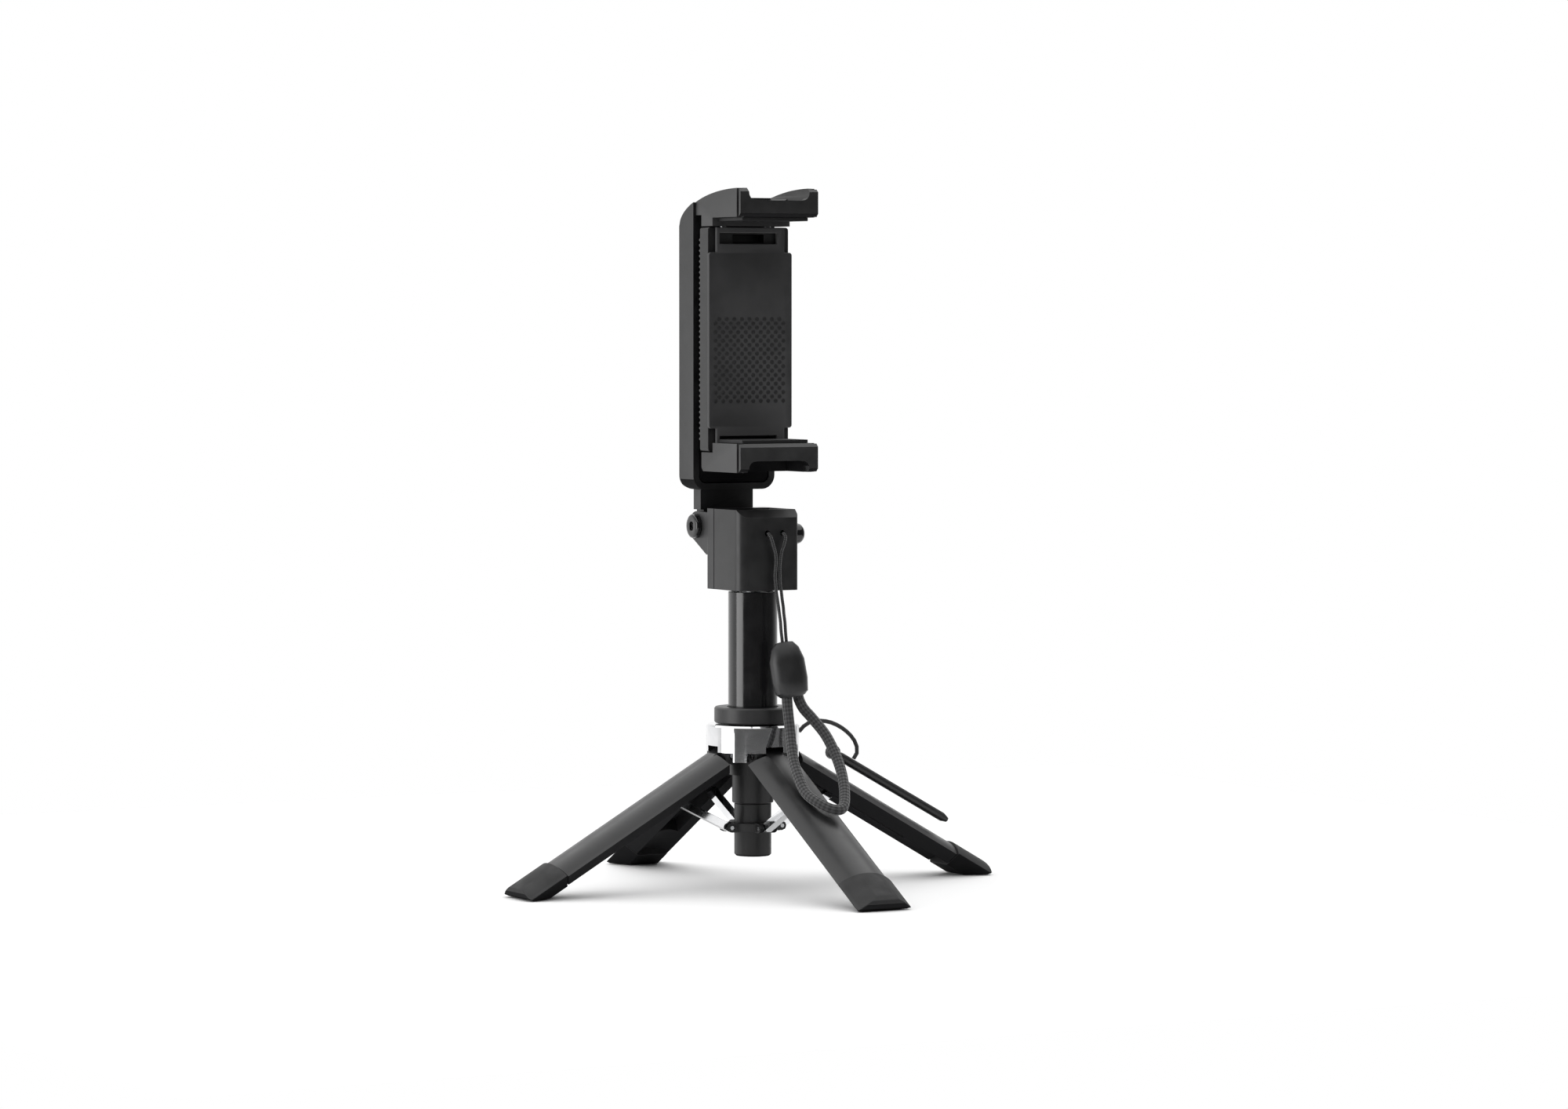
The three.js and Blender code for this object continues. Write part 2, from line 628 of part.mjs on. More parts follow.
function lowerJaw() {
  const profile = outlineShape([
    [CLAMP.back, JAW.bottom + 1],
    [CLAMP.back, CLAMP.bottom - GAP],
    [JAW.step, CLAMP.bottom - GAP],
    [JAW.step, JAW.lowTop],
    [JAW.tip + 1, JAW.lowTop],
    [JAW.tip, JAW.lowTop - 1],
    [JAW.tip, JAW.bottom + 1],
    [JAW.tip + 1, JAW.bottom],
    [CLAMP.back - 1, JAW.bottom],
  ]);
  const recess = block([-9, 9], [JAW.tip + 2, -3.5], [JAW.bottom - 1, JAW.lowTop - 3]);
  const scoop = lipScoop(LIP_SCOOP.lowZ, 100, JAW.tip - 1, JAW.tip + 2.5);
  const grooves = lipGrooves(JAW.bottom, JAW.lowTop + 1);
  return cut(alongX(profile, -JAW.x, JAW.x), recess, scoop, ...grooves);
}

function upperJaw() {
  const profile = outlineShape([
    [JAW.step, CLAMP.top + GAP],
    [CLAMP.back, CLAMP.top + GAP],
    [CLAMP.back, HOOD.bottom],
    [HOOD.back, HOOD.bottom],
    ...shoulderPoints(HOOD.back, JAW.tip + 1.2, 14),
    [JAW.tip, 193.6],
    [JAW.tip, JAW.highBottom + 1],
    [JAW.tip + 1, JAW.highBottom],
    [JAW.step, JAW.highBottom],
  ]);
  const recess = block([-9, 9], [JAW.tip + 2, -3.5], [JAW.highBottom + 2, 200]);
  const scoop = lipScoop(LIP_SCOOP.highZ, 200, JAW.tip - 1, CLAMP.back - 1);
  const grooves = lipGrooves(JAW.highBottom - 1, 200);
  const sockets = [-RODS.x, RODS.x].map((x) =>
    rod(RODS.radius + 0.2, CLAMP.top - 1, RODS.top + 0.3, 16).translate(x, RODS.y, 0),
  );
  return cut(alongX(profile, -JAW.x, JAW.x), recess, scoop, ...grooves, ...sockets);
}

function guideRod(x) {
  const { radius, bottom, top, y } = RODS;
  const outline = [[0, bottom], [1.9, bottom], [1.9, bottom + 1], [radius, bottom + 1]];
  return turned([...outline, [radius, top], [0, top]], 16).translate(x, y, 0);
}

// A compression spring round a guide rod, between the rod's foot and the frame's roof.
function clampSpring(x) {
  const low = RODS.bottom + 1.5;
  const high = CHANNEL.top - 0.6;
  const turns = 6;
  const points = Array.from({ length: turns * 7 + 1 }, (_, i) => {
    const turn = (2 * Math.PI * i) / 7;
    const z = low + ((high - low) * i) / (turns * 7);
    return [x + 1.65 * Math.cos(turn), RODS.y + 1.65 * Math.sin(turn), z];
  });
  return cordAlong(points, 0.25, turns * 7, 4);
}

const PAD = [[-10.4, 10.4], [-12.9, 0.6]]; // each pad's width and depth on its jaw
node("clamp_frame", clampFrame(), "shell");
node("front_panel", frontPanel(), "shell");
node("lower_jaw", lowerJaw(), "shell");
node("lower_pad", block(...PAD, [JAW.lowTop + GAP, JAW.lowTop + 1]), "rubber");
node("upper_jaw", upperJaw(), "shell");
node("upper_pad", block(...PAD, [JAW.highBottom - 1, JAW.highBottom - GAP]), "rubber");
for (const [side, x] of [["left", -RODS.x], ["right", RODS.x]]) {
  node(`guide_rod_${side}`, guideRod(x), "steel");
  node(`clamp_spring_${side}`, clampSpring(x), "steel");
}

// ---- the wrist strap -----------------------------------------------------------------------------------
const STRING_LEFT = [
  [-0.6, -9.9, 99],
  [-0.5, -11.4, 97.8],
  [0.1, -11.6, 95.7],
  [0.8, -11.5, 93.7],
  [1.1, -11.4, 91.5],
  [1, -11.3, 89.4],
  [0.9, -11.2, 87.2],
  [1, -11.3, 85],
  [1.1, -11.5, 82.9],
  [1.3, -11.8, 80.8],
  [1.5, -12.1, 78.6],
  [1.7, -12.3, 76.5],
  [1.9, -12.5, 74.3],
  [2, -12.6, 72.2],
  [2.2, -12.8, 69.8],
  [2.3, -13, 68],
];
const STRING_RIGHT = [
  [4.2, -9.9, 99],
  [4.1, -11.4, 97.8],
  [3.5, -11.6, 95.7],
  [2.8, -11.5, 93.7],
  [2.5, -11.4, 91.5],
  [2.4, -11.3, 89.4],
  [2.5, -11.2, 87.2],
  [2.5, -11.3, 85],
  [2.7, -11.5, 82.9],
  [2.8, -11.8, 80.8],
  [3, -12.1, 78.6],
  [3.1, -12.3, 76.5],
  [3.3, -12.5, 74.3],
  [3.4, -12.6, 72.2],
  [3.5, -12.8, 69.8],
  [3.6, -13, 68],
];
const LOOP = [
  [2.5, -15.1, 55],
  [2.3, -15.6, 52.2],
  [2.2, -16.5, 48.4],
  [1.8, -18.4, 43.2],
  [0.4, -22.2, 37.6],
  [-0.8, -27, 33],
  [-1.2, -32.3, 28.6],
  [-0.2, -37.2, 26.2],
  [2.6, -40.4, 24.4],
  [6.2, -39.8, 24.6],
  [9, -36, 28],
  [11, -31, 33],
  [11.8, -26, 38],
  [11.2, -21.5, 43.2],
  [9, -18, 47.6],
  [7, -16.5, 50.4],
  [6, -15.6, 53],
  [5.9, -15.1, 55],
];
function strapBead() {
  const lower = [[0, -7.9], [3.4, -7.8], [4.8, -6.6], [5.3, -3]];
  const upper = [[5.2, 2.4], [4.1, 5.8], [2.6, 7.5], [0, 7.9]];
  const bead = turned([...lower, ...upper], SMALL_SIDES)
    .scale(1, 0.72, 1)
    .rotateX(-rad(8))
    .rotateY(-rad(6))
    .translate(3.4, -14.2, 61.3);
  return cut(
    bead,
    cordAlong(STRING_LEFT, STRING_RADIUS + GAP, 12, 10),
    cordAlong(STRING_RIGHT, STRING_RADIUS + GAP, 12, 10),
    cordAlong(LOOP, CORD_RADIUS + GAP, 30, 12),
  );
}
node("strap_string_left", cordAlong(STRING_LEFT, STRING_RADIUS, 12), "cord");
node("strap_string_right", cordAlong(STRING_RIGHT, STRING_RADIUS, 12), "cord");
node("strap_bead", strapBead(), "shell");
node("strap_loop", cordAlong(LOOP, CORD_RADIUS, 30, 8), "cord");

export default stick;
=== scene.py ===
# The looks of the pocket selfie stick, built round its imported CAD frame. Metres, +Z up.
import json
import math

import bmesh
import bpy
from mathutils import Matrix, Vector


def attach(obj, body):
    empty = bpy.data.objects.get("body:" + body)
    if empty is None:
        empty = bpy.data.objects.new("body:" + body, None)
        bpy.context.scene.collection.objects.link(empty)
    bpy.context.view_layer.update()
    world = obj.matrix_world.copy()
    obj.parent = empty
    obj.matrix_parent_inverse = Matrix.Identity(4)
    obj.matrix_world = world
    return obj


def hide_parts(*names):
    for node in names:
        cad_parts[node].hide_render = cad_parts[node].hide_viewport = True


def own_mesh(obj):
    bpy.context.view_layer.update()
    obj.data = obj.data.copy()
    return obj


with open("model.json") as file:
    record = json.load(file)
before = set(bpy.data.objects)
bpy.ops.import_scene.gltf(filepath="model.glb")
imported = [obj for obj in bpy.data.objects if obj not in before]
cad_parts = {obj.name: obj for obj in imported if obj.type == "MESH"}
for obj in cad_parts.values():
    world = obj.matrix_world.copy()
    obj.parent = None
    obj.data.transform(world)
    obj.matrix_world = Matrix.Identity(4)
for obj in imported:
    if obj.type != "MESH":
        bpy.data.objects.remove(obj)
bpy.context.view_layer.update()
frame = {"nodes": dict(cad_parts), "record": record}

MM = 0.001
NODES = frame["nodes"]
BODY_OF = {
    node: body
    for body, members in frame["record"]["behaviour"]["bodies"].items()
    for node in members
}
SLOT_OF = {part["node"]: part["material_slot"] for part in frame["record"]["subparts"]}
SIDES = ("right", "back", "left", "front")

# ---- camera -------------------------------------------------------------------------------
CAMERA_AZIMUTH = -28.85
CAMERA_ELEVATION = 2.4
CAMERA_TARGET = (0, 0, 0.097)
CAMERA_DISTANCE = 1.5
CAMERA_LENS = 123.2
CAMERA_SHIFT = (0.0199, -0.0098)


def place_camera():
    turn = math.radians(CAMERA_AZIMUTH)
    data = bpy.data.cameras.new("camera")
    data.lens = CAMERA_LENS
    data.sensor_width = 36
    data.shift_x, data.shift_y = CAMERA_SHIFT
    data.clip_start = 0.01
    camera = bpy.data.objects.new("camera", data)
    camera.rotation_euler = (math.pi / 2 - math.radians(CAMERA_ELEVATION), 0, turn)
    away = camera.rotation_euler.to_matrix() @ Vector((0, 0, CAMERA_DISTANCE))
    camera.location = Vector(CAMERA_TARGET) + away
    bpy.context.scene.collection.objects.link(camera)
    bpy.context.scene.camera = camera


place_camera()


# ---- mesh helpers ---------------------------------------------------------------------------
MERGE_WITHIN = 0.002 * MM
FLAT_WITHIN = math.radians(0.5)
ON_AXIS = 1e-7


def add_object(name, mesh):
    piece = bpy.data.objects.new(name, mesh)
    bpy.context.scene.collection.objects.link(piece)
    return piece


def finished(name, bm, material, smooth_angle=40):
    """The bmesh as an object, smooth where its faces meet at less than smooth_angle degrees."""
    bmesh.ops.recalc_face_normals(bm, faces=bm.faces)
    mesh = bpy.data.meshes.new(name)
    bm.to_mesh(mesh)
    bm.free()
    mesh.shade_smooth()
    weigh_normals(mesh, math.cos(math.radians(smooth_angle)))
    mesh.materials.append(material)
    return add_object(name, mesh)


def weigh_normals(mesh, least_dot):
    """Corner normals that follow the larger faces, so that flat faces stay flat to their edges."""
    faces_at = [[] for _ in mesh.vertices]
    for face in mesh.polygons:
        for vertex in face.vertices:
            faces_at[vertex].append((face.normal.copy(), face.area))
    normals = []
    for face in mesh.polygons:
        own = face.normal.copy()
        for vertex in face.vertices:
            near = [n * area for n, area in faces_at[vertex] if n.dot(own) > least_dot]
            normals.append(sum(near, Vector()).normalized())
    mesh.normals_split_custom_set(normals)


def round_edges(bm, width, segments=3, angle=35):
    """Rounds every edge that is sharper than angle degrees."""
    sharp = [e for e in bm.edges if e.is_manifold and e.calc_face_angle() > math.radians(angle)]
    bmesh.ops.bevel(
        bm,
        geom=sharp,
        offset=width,
        segments=segments,
        profile=0.5,
        affect="EDGES",
        clamp_overlap=True,
    )


def cad_bmesh(node):
    """A CAD node's surface with its flat faces whole."""
    bm = bmesh.new()
    bm.from_mesh(NODES[node].data)
    bmesh.ops.remove_doubles(bm, verts=bm.verts, dist=MERGE_WITHIN)
    bmesh.ops.dissolve_limit(bm, angle_limit=FLAT_WITHIN, verts=bm.verts, edges=bm.edges)
    return bm


def refined(node, material, width=0.3, segments=3, angle=35):
    """A copy of a CAD node with moulded, rounded edges, which stands for it."""
    bm = cad_bmesh(node)
    round_edges(bm, width * MM, segments, angle)
    return stand_for(finished(node + "_moulded", bm, material), node)


def second_material(piece, material, where):
    """Gives the faces whose centre and normal pass the test a second material."""
    piece.data.materials.append(material)
    for face in piece.data.polygons:
        face.material_index = int(where(face.center / MM, face.normal))


def stand_for(piece, node):
    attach(piece, BODY_OF[node])
    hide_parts(node)
    return piece


def turned_bmesh(outline, sides=96):
    """A body of revolution about Z from [radius, height] points in metres."""
    bm = bmesh.new()
    rings = []
    for radius, height in outline:
        if radius < ON_AXIS:
            rings.append([bm.verts.new((0, 0, height))])
            continue
        ring = []
        for i in range(sides):
            turn = 2 * math.pi * i / sides
            ring.append(bm.verts.new((radius * math.cos(turn), radius * math.sin(turn), height)))
        rings.append(ring)
    pairs = list(zip(rings, rings[1:]))
    if outline[0][0] > ON_AXIS:
        pairs.append((rings[-1], rings[0]))
    for low, high in pairs:
        for i in range(sides):
            j = (i + 1) % sides
            if len(low) == 1:
                bm.faces.new((low[0], high[i], high[j]))
            elif len(high) == 1:
                bm.faces.new((low[i], high[0], low[j]))
            else:
                bm.faces.new((low[i], high[i], high[j], low[j]))
    return bm


def smooth_path(points, per_span=8):
    """A Catmull-Rom curve through the points, as many closely spaced points."""
    knots = [points[0] * 2 - points[1], *points, points[-1] * 2 - points[-2]]
    path = []
    for a, b, c, d in zip(knots, knots[1:], knots[2:], knots[3:]):
        for step in range(per_span):
            t = step / per_span
            path.append(
                0.5 * (2 * b + (c - a) * t + (2 * a - 5 * b + 4 * c - d) * t * t
                       + (3 * b - 3 * c + d - a) * t ** 3)
            )
    return path + [points[-1].copy()]


def swept_tube(name, path, radius, material, sides=16):
    """A capped tube along a path, with UVs that run round it and, in metres, along it."""
    bm = bmesh.new()
    uv = bm.loops.layers.uv.new("UVMap")
    normal = (path[1] - path[0]).orthogonal().normalized()
    rings, along = [], [0.0]
    for i, point in enumerate(path):
        ahead = path[min(i + 1, len(path) - 1)]
        behind = path[max(i - 1, 0)]
        tangent = (ahead - behind).normalized()
        normal = (normal - tangent * normal.dot(tangent)).normalized()
        side = tangent.cross(normal)
        if i:
            along.append(along[-1] + (point - path[i - 1]).length)
        turns = [2 * math.pi * k / sides for k in range(sides)]
        rings.append([
            bm.verts.new(point + radius * (math.cos(a) * normal + math.sin(a) * side))
            for a in turns
        ])
    for i in range(len(rings) - 1):
        for k in range(sides):
            j = (k + 1) % sides
            face = bm.faces.new((rings[i][k], rings[i][j], rings[i + 1][j], rings[i + 1][k]))
            corners = ((k, i), (k + 1, i), (k + 1, i + 1), (k, i + 1))
            for loop, (around, row) in zip(face.loops, corners):
                loop[uv].uv = (around / sides, along[row])
    bm.faces.new(rings[0][::-1])
    bm.faces.new(rings[-1])
    return finished(name, bm, material, smooth_angle=60)


# ---- materials ------------------------------------------------------------------------------
NOISE_LOW, NOISE_HIGH = 0.3, 0.7  # most noise values lie between these
WORN_FROM, WORN_FULL = 0.53, 0.62  # pointiness
WORN_SHARE, WORN_LIGHTER = 0.35, 3
MOTTLE, GRAIN = 240, 4200  # features per metre


def new_material(name):
    material = bpy.data.materials.new(name)
    material.use_nodes = True
    return material, material.node_tree.nodes, material.node_tree.links


def add_noise(nodes, links, scale, detail=3, stretch=(1, 1, 1)):
    """Noise in the object's own metres. scale is in features per metre."""
    place = nodes.new("ShaderNodeTexCoord")
    spread = nodes.new("ShaderNodeMapping")
    spread.inputs["Scale"].default_value = stretch
    noise = nodes.new("ShaderNodeTexNoise")
    noise.inputs["Scale"].default_value = scale
    noise.inputs["Detail"].default_value = detail
    links.new(place.outputs["Object"], spread.inputs["Vector"])
    links.new(spread.outputs["Vector"], noise.inputs["Vector"])
    return noise.outputs["Fac"]


def add_range(nodes, links, value, low, high):
    remap = nodes.new("ShaderNodeMapRange")
    remap.inputs["From Min"].default_value = NOISE_LOW
    remap.inputs["From Max"].default_value = NOISE_HIGH
    remap.inputs["To Min"].default_value = low
    remap.inputs["To Max"].default_value = high
    links.new(value, remap.inputs["Value"])
    return remap.outputs["Result"]


def add_tint(nodes, links, value, dark, light):
    ramp = nodes.new("ShaderNodeValToRGB")
    ramp.color_ramp.elements[0].position = NOISE_LOW
    ramp.color_ramp.elements[1].position = NOISE_HIGH
    ramp.color_ramp.elements[0].color = (*dark, 1)
    ramp.color_ramp.elements[1].color = (*light, 1)
    links.new(value, ramp.inputs["Fac"])
    return ramp.outputs["Color"]


def add_bump(nodes, links, height, distance, strength, under=None):
    bump = nodes.new("ShaderNodeBump")
    bump.inputs["Distance"].default_value = distance
    bump.inputs["Strength"].default_value = strength
    links.new(height, bump.inputs["Height"])
    if under:
        links.new(under, bump.inputs["Normal"])
    return bump.outputs["Normal"]


def worn_edges(nodes, links, colour, worn):
    """Mixes a lighter colour in along the piece's outer edges."""
    geometry = nodes.new("ShaderNodeNewGeometry")
    ramp = nodes.new("ShaderNodeValToRGB")
    ramp.color_ramp.elements[0].position = WORN_FROM
    ramp.color_ramp.elements[1].position = WORN_FULL
    ramp.color_ramp.elements[1].color = (WORN_SHARE, WORN_SHARE, WORN_SHARE, 1)
    links.new(geometry.outputs["Pointiness"], ramp.inputs["Fac"])
    mix = nodes.new("ShaderNodeMix")
    mix.data_type = "RGBA"
    links.new(ramp.outputs["Color"], mix.inputs["Factor"])
    links.new(colour, mix.inputs["A"])
    mix.inputs["B"].default_value = (*worn, 1)
    return mix.outputs["Result"]


def plastic(name, dark, light, roughness, texture=0.02, coat=0.0, specular=0.5):
    """Moulded plastic: a fine spark-eroded texture, mottled gloss and rubbed edges."""
    material, nodes, links = new_material(name)
    shader = nodes["Principled BSDF"]
    mottle = add_noise(nodes, links, MOTTLE, 4)
    grain = add_noise(nodes, links, GRAIN, 2)
    tint = add_tint(nodes, links, mottle, dark, light)
    worn = tuple(WORN_LIGHTER * c for c in light)
    links.new(worn_edges(nodes, links, tint, worn), shader.inputs["Base Color"])
    shader.inputs["Specular IOR Level"].default_value = specular
    low, high = roughness
    links.new(add_range(nodes, links, mottle, low, high), shader.inputs["Roughness"])
    links.new(add_bump(nodes, links, grain, texture * MM, 0.5), shader.inputs["Normal"])
    shader.inputs["Coat Weight"].default_value = coat
    shader.inputs["Coat Roughness"].default_value = 0.12
    return material


def metal(name, dark, light, roughness, stretch, scratch=0.004):
    """Bare metal with drawn or turned marks that run across the stretched axis."""
    material, nodes, links = new_material(name)
    shader = nodes["Principled BSDF"]
    marks = add_noise(nodes, links, 700, 5, stretch)
    smear = add_noise(nodes, links, 160, 3)
    links.new(add_tint(nodes, links, smear, dark, light), shader.inputs["Base Color"])
    low, high = roughness
    links.new(add_range(nodes, links, marks, low, high), shader.inputs["Roughness"])
    links.new(add_bump(nodes, links, marks, scratch * MM, 0.4), shader.inputs["Normal"])
    shader.inputs["Metallic"].default_value = 1
    return material


def braid(name, dark, light, around, pitch):
    """Braided cord: two crossing helical yarn patterns from the tube's own UVs."""
    material, nodes, links = new_material(name)
    shader = nodes["Principled BSDF"]
    place = nodes.new("ShaderNodeTexCoord")
    split = nodes.new("ShaderNodeSeparateXYZ")
    links.new(place.outputs["UV"], split.inputs["Vector"])

    def arithmetic(operation, a, b=None):
        node = nodes.new("ShaderNodeMath")
        node.operation = operation
        for socket, value in zip(node.inputs, (a, b)):
            if isinstance(value, (int, float)):
                socket.default_value = value
            elif value is not None:
                links.new(value, socket)
        return node.outputs["Value"]

    turn = arithmetic("MULTIPLY", split.outputs["X"], 2 * math.pi * around)
    run = arithmetic("MULTIPLY", split.outputs["Y"], 2 * math.pi / pitch)
    one = arithmetic("SINE", arithmetic("ADD", turn, run))
    two = arithmetic("SINE", arithmetic("SUBTRACT", turn, run))
    weave = arithmetic("MULTIPLY_ADD", arithmetic("MULTIPLY", one, two), 0.5)
    weave.node.inputs[2].default_value = 0.5
    fuzz = add_noise(nodes, links, 5200, 3)
    links.new(add_tint(nodes, links, weave, dark, light), shader.inputs["Base Color"])
    woven = add_bump(nodes, links, weave, 0.25 * MM, 0.9)
    links.new(add_bump(nodes, links, fuzz, 0.03 * MM, 0.5, woven), shader.inputs["Normal"])
    shader.inputs["Roughness"].default_value = 0.82
    shader.inputs["Sheen Weight"].default_value = 0.35
    return material


def circuit(name):
    """Green solder mask with rows of lighter copper lands."""
    material, nodes, links = new_material(name)
    shader = nodes["Principled BSDF"]
    place = nodes.new("ShaderNodeTexCoord")
    bricks = nodes.new("ShaderNodeTexBrick")
    bricks.inputs["Scale"].default_value = 420
    bricks.inputs["Mortar Size"].default_value = 0.03
    bricks.inputs["Color1"].default_value = (0.01, 0.07, 0.03, 1)
    bricks.inputs["Color2"].default_value = (0.015, 0.1, 0.04, 1)
    bricks.inputs["Mortar"].default_value = (0.12, 0.22, 0.08, 1)
    turn = nodes.new("ShaderNodeMapping")
    turn.inputs["Rotation"].default_value = (0, math.pi / 2, 0)
    links.new(place.outputs["Object"], turn.inputs["Vector"])
    links.new(turn.outputs["Vector"], bricks.inputs["Vector"])
    links.new(bricks.outputs["Color"], shader.inputs["Base Color"])
    links.new(add_range(nodes, links, add_noise(nodes, links, 900), 0.25, 0.5),
              shader.inputs["Roughness"])
    return material


SHELL = plastic("moulded_black", (0.008, 0.008, 0.0085), (0.013, 0.013, 0.0135), (0.36, 0.46))
PANEL = plastic("panel_black", (0.034, 0.034, 0.035), (0.042, 0.042, 0.043), (0.46, 0.56))
JAW = plastic("jaw_black", (0.018, 0.018, 0.0185), (0.026, 0.026, 0.0265), (0.38, 0.48))
GLOSS = plastic(
    "polished_black", (0.003, 0.003, 0.0035), (0.006, 0.006, 0.0065), (0.12, 0.2), 0.003, 0.3
)
LEG = plastic("leg_black", (0.007, 0.007, 0.0075), (0.012, 0.012, 0.0125), (0.28, 0.38), 0.012)
RUBBER = plastic("rubber_black", (0.006, 0.006, 0.0065), (0.012, 0.012, 0.0125), (0.55, 0.75), 0.05)
# Painted shade: a darker, duller, barely reflective black for undersides and tucked-away faces, so
# that they read as shaded.
PAINTED_SHADE = plastic(
    "painted_shade_black", (0.004, 0.004, 0.0045), (0.008, 0.008, 0.0085), (0.8, 0.95), 0.03, 0, 0.12
)
SILVER = metal("bright_metal", (0.72, 0.73, 0.74), (0.84, 0.84, 0.85), (0.05, 0.1), (1, 1, 9), 0.0001)
STEEL = metal("drawn_steel", (0.5, 0.51, 0.52), (0.57, 0.58, 0.59), (0.22, 0.38), (9, 9, 1))
BRAID = braid("braided_cord", (0.012, 0.012, 0.0125), (0.05, 0.05, 0.052), 6, 2.4 * MM)
TWINE = braid("fine_cord", (0.01, 0.01, 0.0105), (0.035, 0.035, 0.037), 3, 1.1 * MM)
BOARD = circuit("solder_mask")
FINISH_OF = {
    "shell": SHELL,
    "gloss": GLOSS,
    "rubber": RUBBER,
    "silver": SILVER,
    "steel": STEEL,
    "cord": TWINE,
    "board": BOARD,
}

# ---- the wrist strap --------------------------------------------------------------------------
STRING_LEFT = [
    (-0.6, -9.9, 99), (-0.5, -11.4, 97.8), (0.1, -11.6, 95.7), (0.8, -11.5, 93.7),
    (1.1, -11.4, 91.5), (1, -11.3, 89.4), (0.9, -11.2, 87.2), (1, -11.3, 85), (1.1, -11.5, 82.9),
    (1.3, -11.8, 80.8), (1.5, -12.1, 78.6), (1.7, -12.3, 76.5), (1.9, -12.5, 74.3),
    (2, -12.6, 72.2), (2.2, -12.8, 69.8), (2.3, -13, 68),
]
STRING_RIGHT = [
    (4.2, -9.9, 99), (4.1, -11.4, 97.8), (3.5, -11.6, 95.7), (2.8, -11.5, 93.7), (2.5, -11.4, 91.5),
    (2.4, -11.3, 89.4), (2.5, -11.2, 87.2), (2.5, -11.3, 85), (2.7, -11.5, 82.9),
    (2.8, -11.8, 80.8), (3, -12.1, 78.6), (3.1, -12.3, 76.5), (3.3, -12.5, 74.3),
    (3.4, -12.6, 72.2), (3.5, -12.8, 69.8), (3.6, -13, 68),
]
LOOP = [
    (2.5, -15.1, 55), (2.3, -15.6, 52.2), (2.2, -16.5, 48.4), (1.8, -18.4, 43.2),
    (0.4, -22.2, 37.6), (-0.8, -27, 33), (-1.2, -32.3, 28.6), (-0.2, -37.2, 26.2),
    (2.6, -40.4, 24.4), (6.2, -39.8, 24.6), (9, -36, 28), (11, -31, 33), (11.8, -26, 38),
    (11.2, -21.5, 43.2), (9, -18, 47.6), (7, -16.5, 50.4), (6, -15.6, 53), (5.9, -15.1, 55),
]
STRING_RADIUS = 0.45 * MM
LOOP_RADIUS = 1.5 * MM


def strap_cord(node, points, radius, material):
    path = smooth_path([Vector(p) * MM for p in points])
    tube = swept_tube(node + "_braid", path, radius, material)
    stand_for(tube, node)


bead = refined("strap_bead", SHELL, 0.2, 2, 40)
strap_cord("strap_string_left", STRING_LEFT, STRING_RADIUS, TWINE)
strap_cord("strap_string_right", STRING_RIGHT, STRING_RADIUS, TWINE)
strap_cord("strap_loop", LOOP, LOOP_RADIUS, BRAID)

# ---- pieces that keep their CAD outline, with moulded edges ------------------------------------
MOULDED = {
    "hub_shell": (SILVER, 0.25),
    "tether_pin": (SHELL, 0.2),
    "spreader_sleeve": (SHELL, 0.2),
    "head_front_shell": (SHELL, 0.45),
    "head_rear_shell": (SHELL, 0.4),
    "arm_shell": (SHELL, 0.6),
    # Painted shade: the arm plate is the darker, duller black all over.
    "arm_plate": (PAINTED_SHADE, 0.2),
    "clamp_frame": (SHELL, 0.35),
    "lower_jaw": (JAW, 0.3),
    "upper_jaw": (JAW, 0.3),
    "front_panel": (PANEL, 0.2),
    # Painted shade: the swivel boss is the darker, duller black all over.
    "swivel_boss": (PAINTED_SHADE, 0.2),
}
for side in SIDES:
    MOULDED["leg_" + side] = (LEG, 0.35)
    MOULDED["foot_" + side] = (RUBBER, 0.5)
    MOULDED["strut_" + side] = (SILVER, 0.2)
PIECES = {node: refined(node, *finish) for node, finish in MOULDED.items()}


PAD_GAP, PAD_EDGE = 0.28, 0.15


def seated_pad(node, jaw_side):
    """A jaw's rubber pad, grown over the gap to its jaw, which is above (1) or below (-1) it."""
    bm = cad_bmesh(node)
    middle = sum((v.co.z for v in bm.verts), 0.0) / len(bm.verts)
    for vertex in bm.verts:
        if (vertex.co.z - middle) * jaw_side > 0:
            vertex.co.z += jaw_side * PAD_GAP * MM
    round_edges(bm, PAD_EDGE * MM)
    PIECES[node] = stand_for(finished(node + "_moulded", bm, RUBBER), node)


seated_pad("lower_pad", -1)
seated_pad("upper_pad", 1)


RECESS_HALF, RECESS_FRONT, RECESS_BACK, RECESS_TOP = 9.2, -13.4, -3.4, 121.2
RIM_INNER, LUG_TOP, BARREL_TOP, TAB_SPREAD = 10.3, 37.8, 39.8, 3


# Picks the faces that turn downwards, which get the painted-shade black.
def looks_down(centre, normal):
    return normal.z < -0.3


def in_lower_recess(centre, normal):
    """The underside of the lower jaw, and the walls of the hollow above it, which take painted shade.
    """
    in_plan = abs(centre.x) < RECESS_HALF and RECESS_FRONT < centre.y < RECESS_BACK
    return looks_down(centre, normal) or (in_plan and centre.z < RECESS_TOP)


def below_rim(centre, normal):
    """The hub's lugs and barrel, under its bright rim and between the rim's diagonal tabs."""
    inside = math.hypot(centre.x, centre.y) < RIM_INNER
    on_tab = not inside and abs(abs(centre.x) - abs(centre.y)) < TAB_SPREAD
    return (centre.z < LUG_TOP and not on_tab) or (centre.z < BARREL_TOP and inside)


# Painted shade: the undersides of these pieces, of the legs and of the feet get the darker, duller
# black.
for node in ("spreader_sleeve", "arm_shell", "upper_jaw", "upper_pad"):
    second_material(PIECES[node], PAINTED_SHADE, looks_down)
for side in SIDES:
    second_material(PIECES["leg_" + side], PAINTED_SHADE, looks_down)
    second_material(PIECES["foot_" + side], PAINTED_SHADE, looks_down)
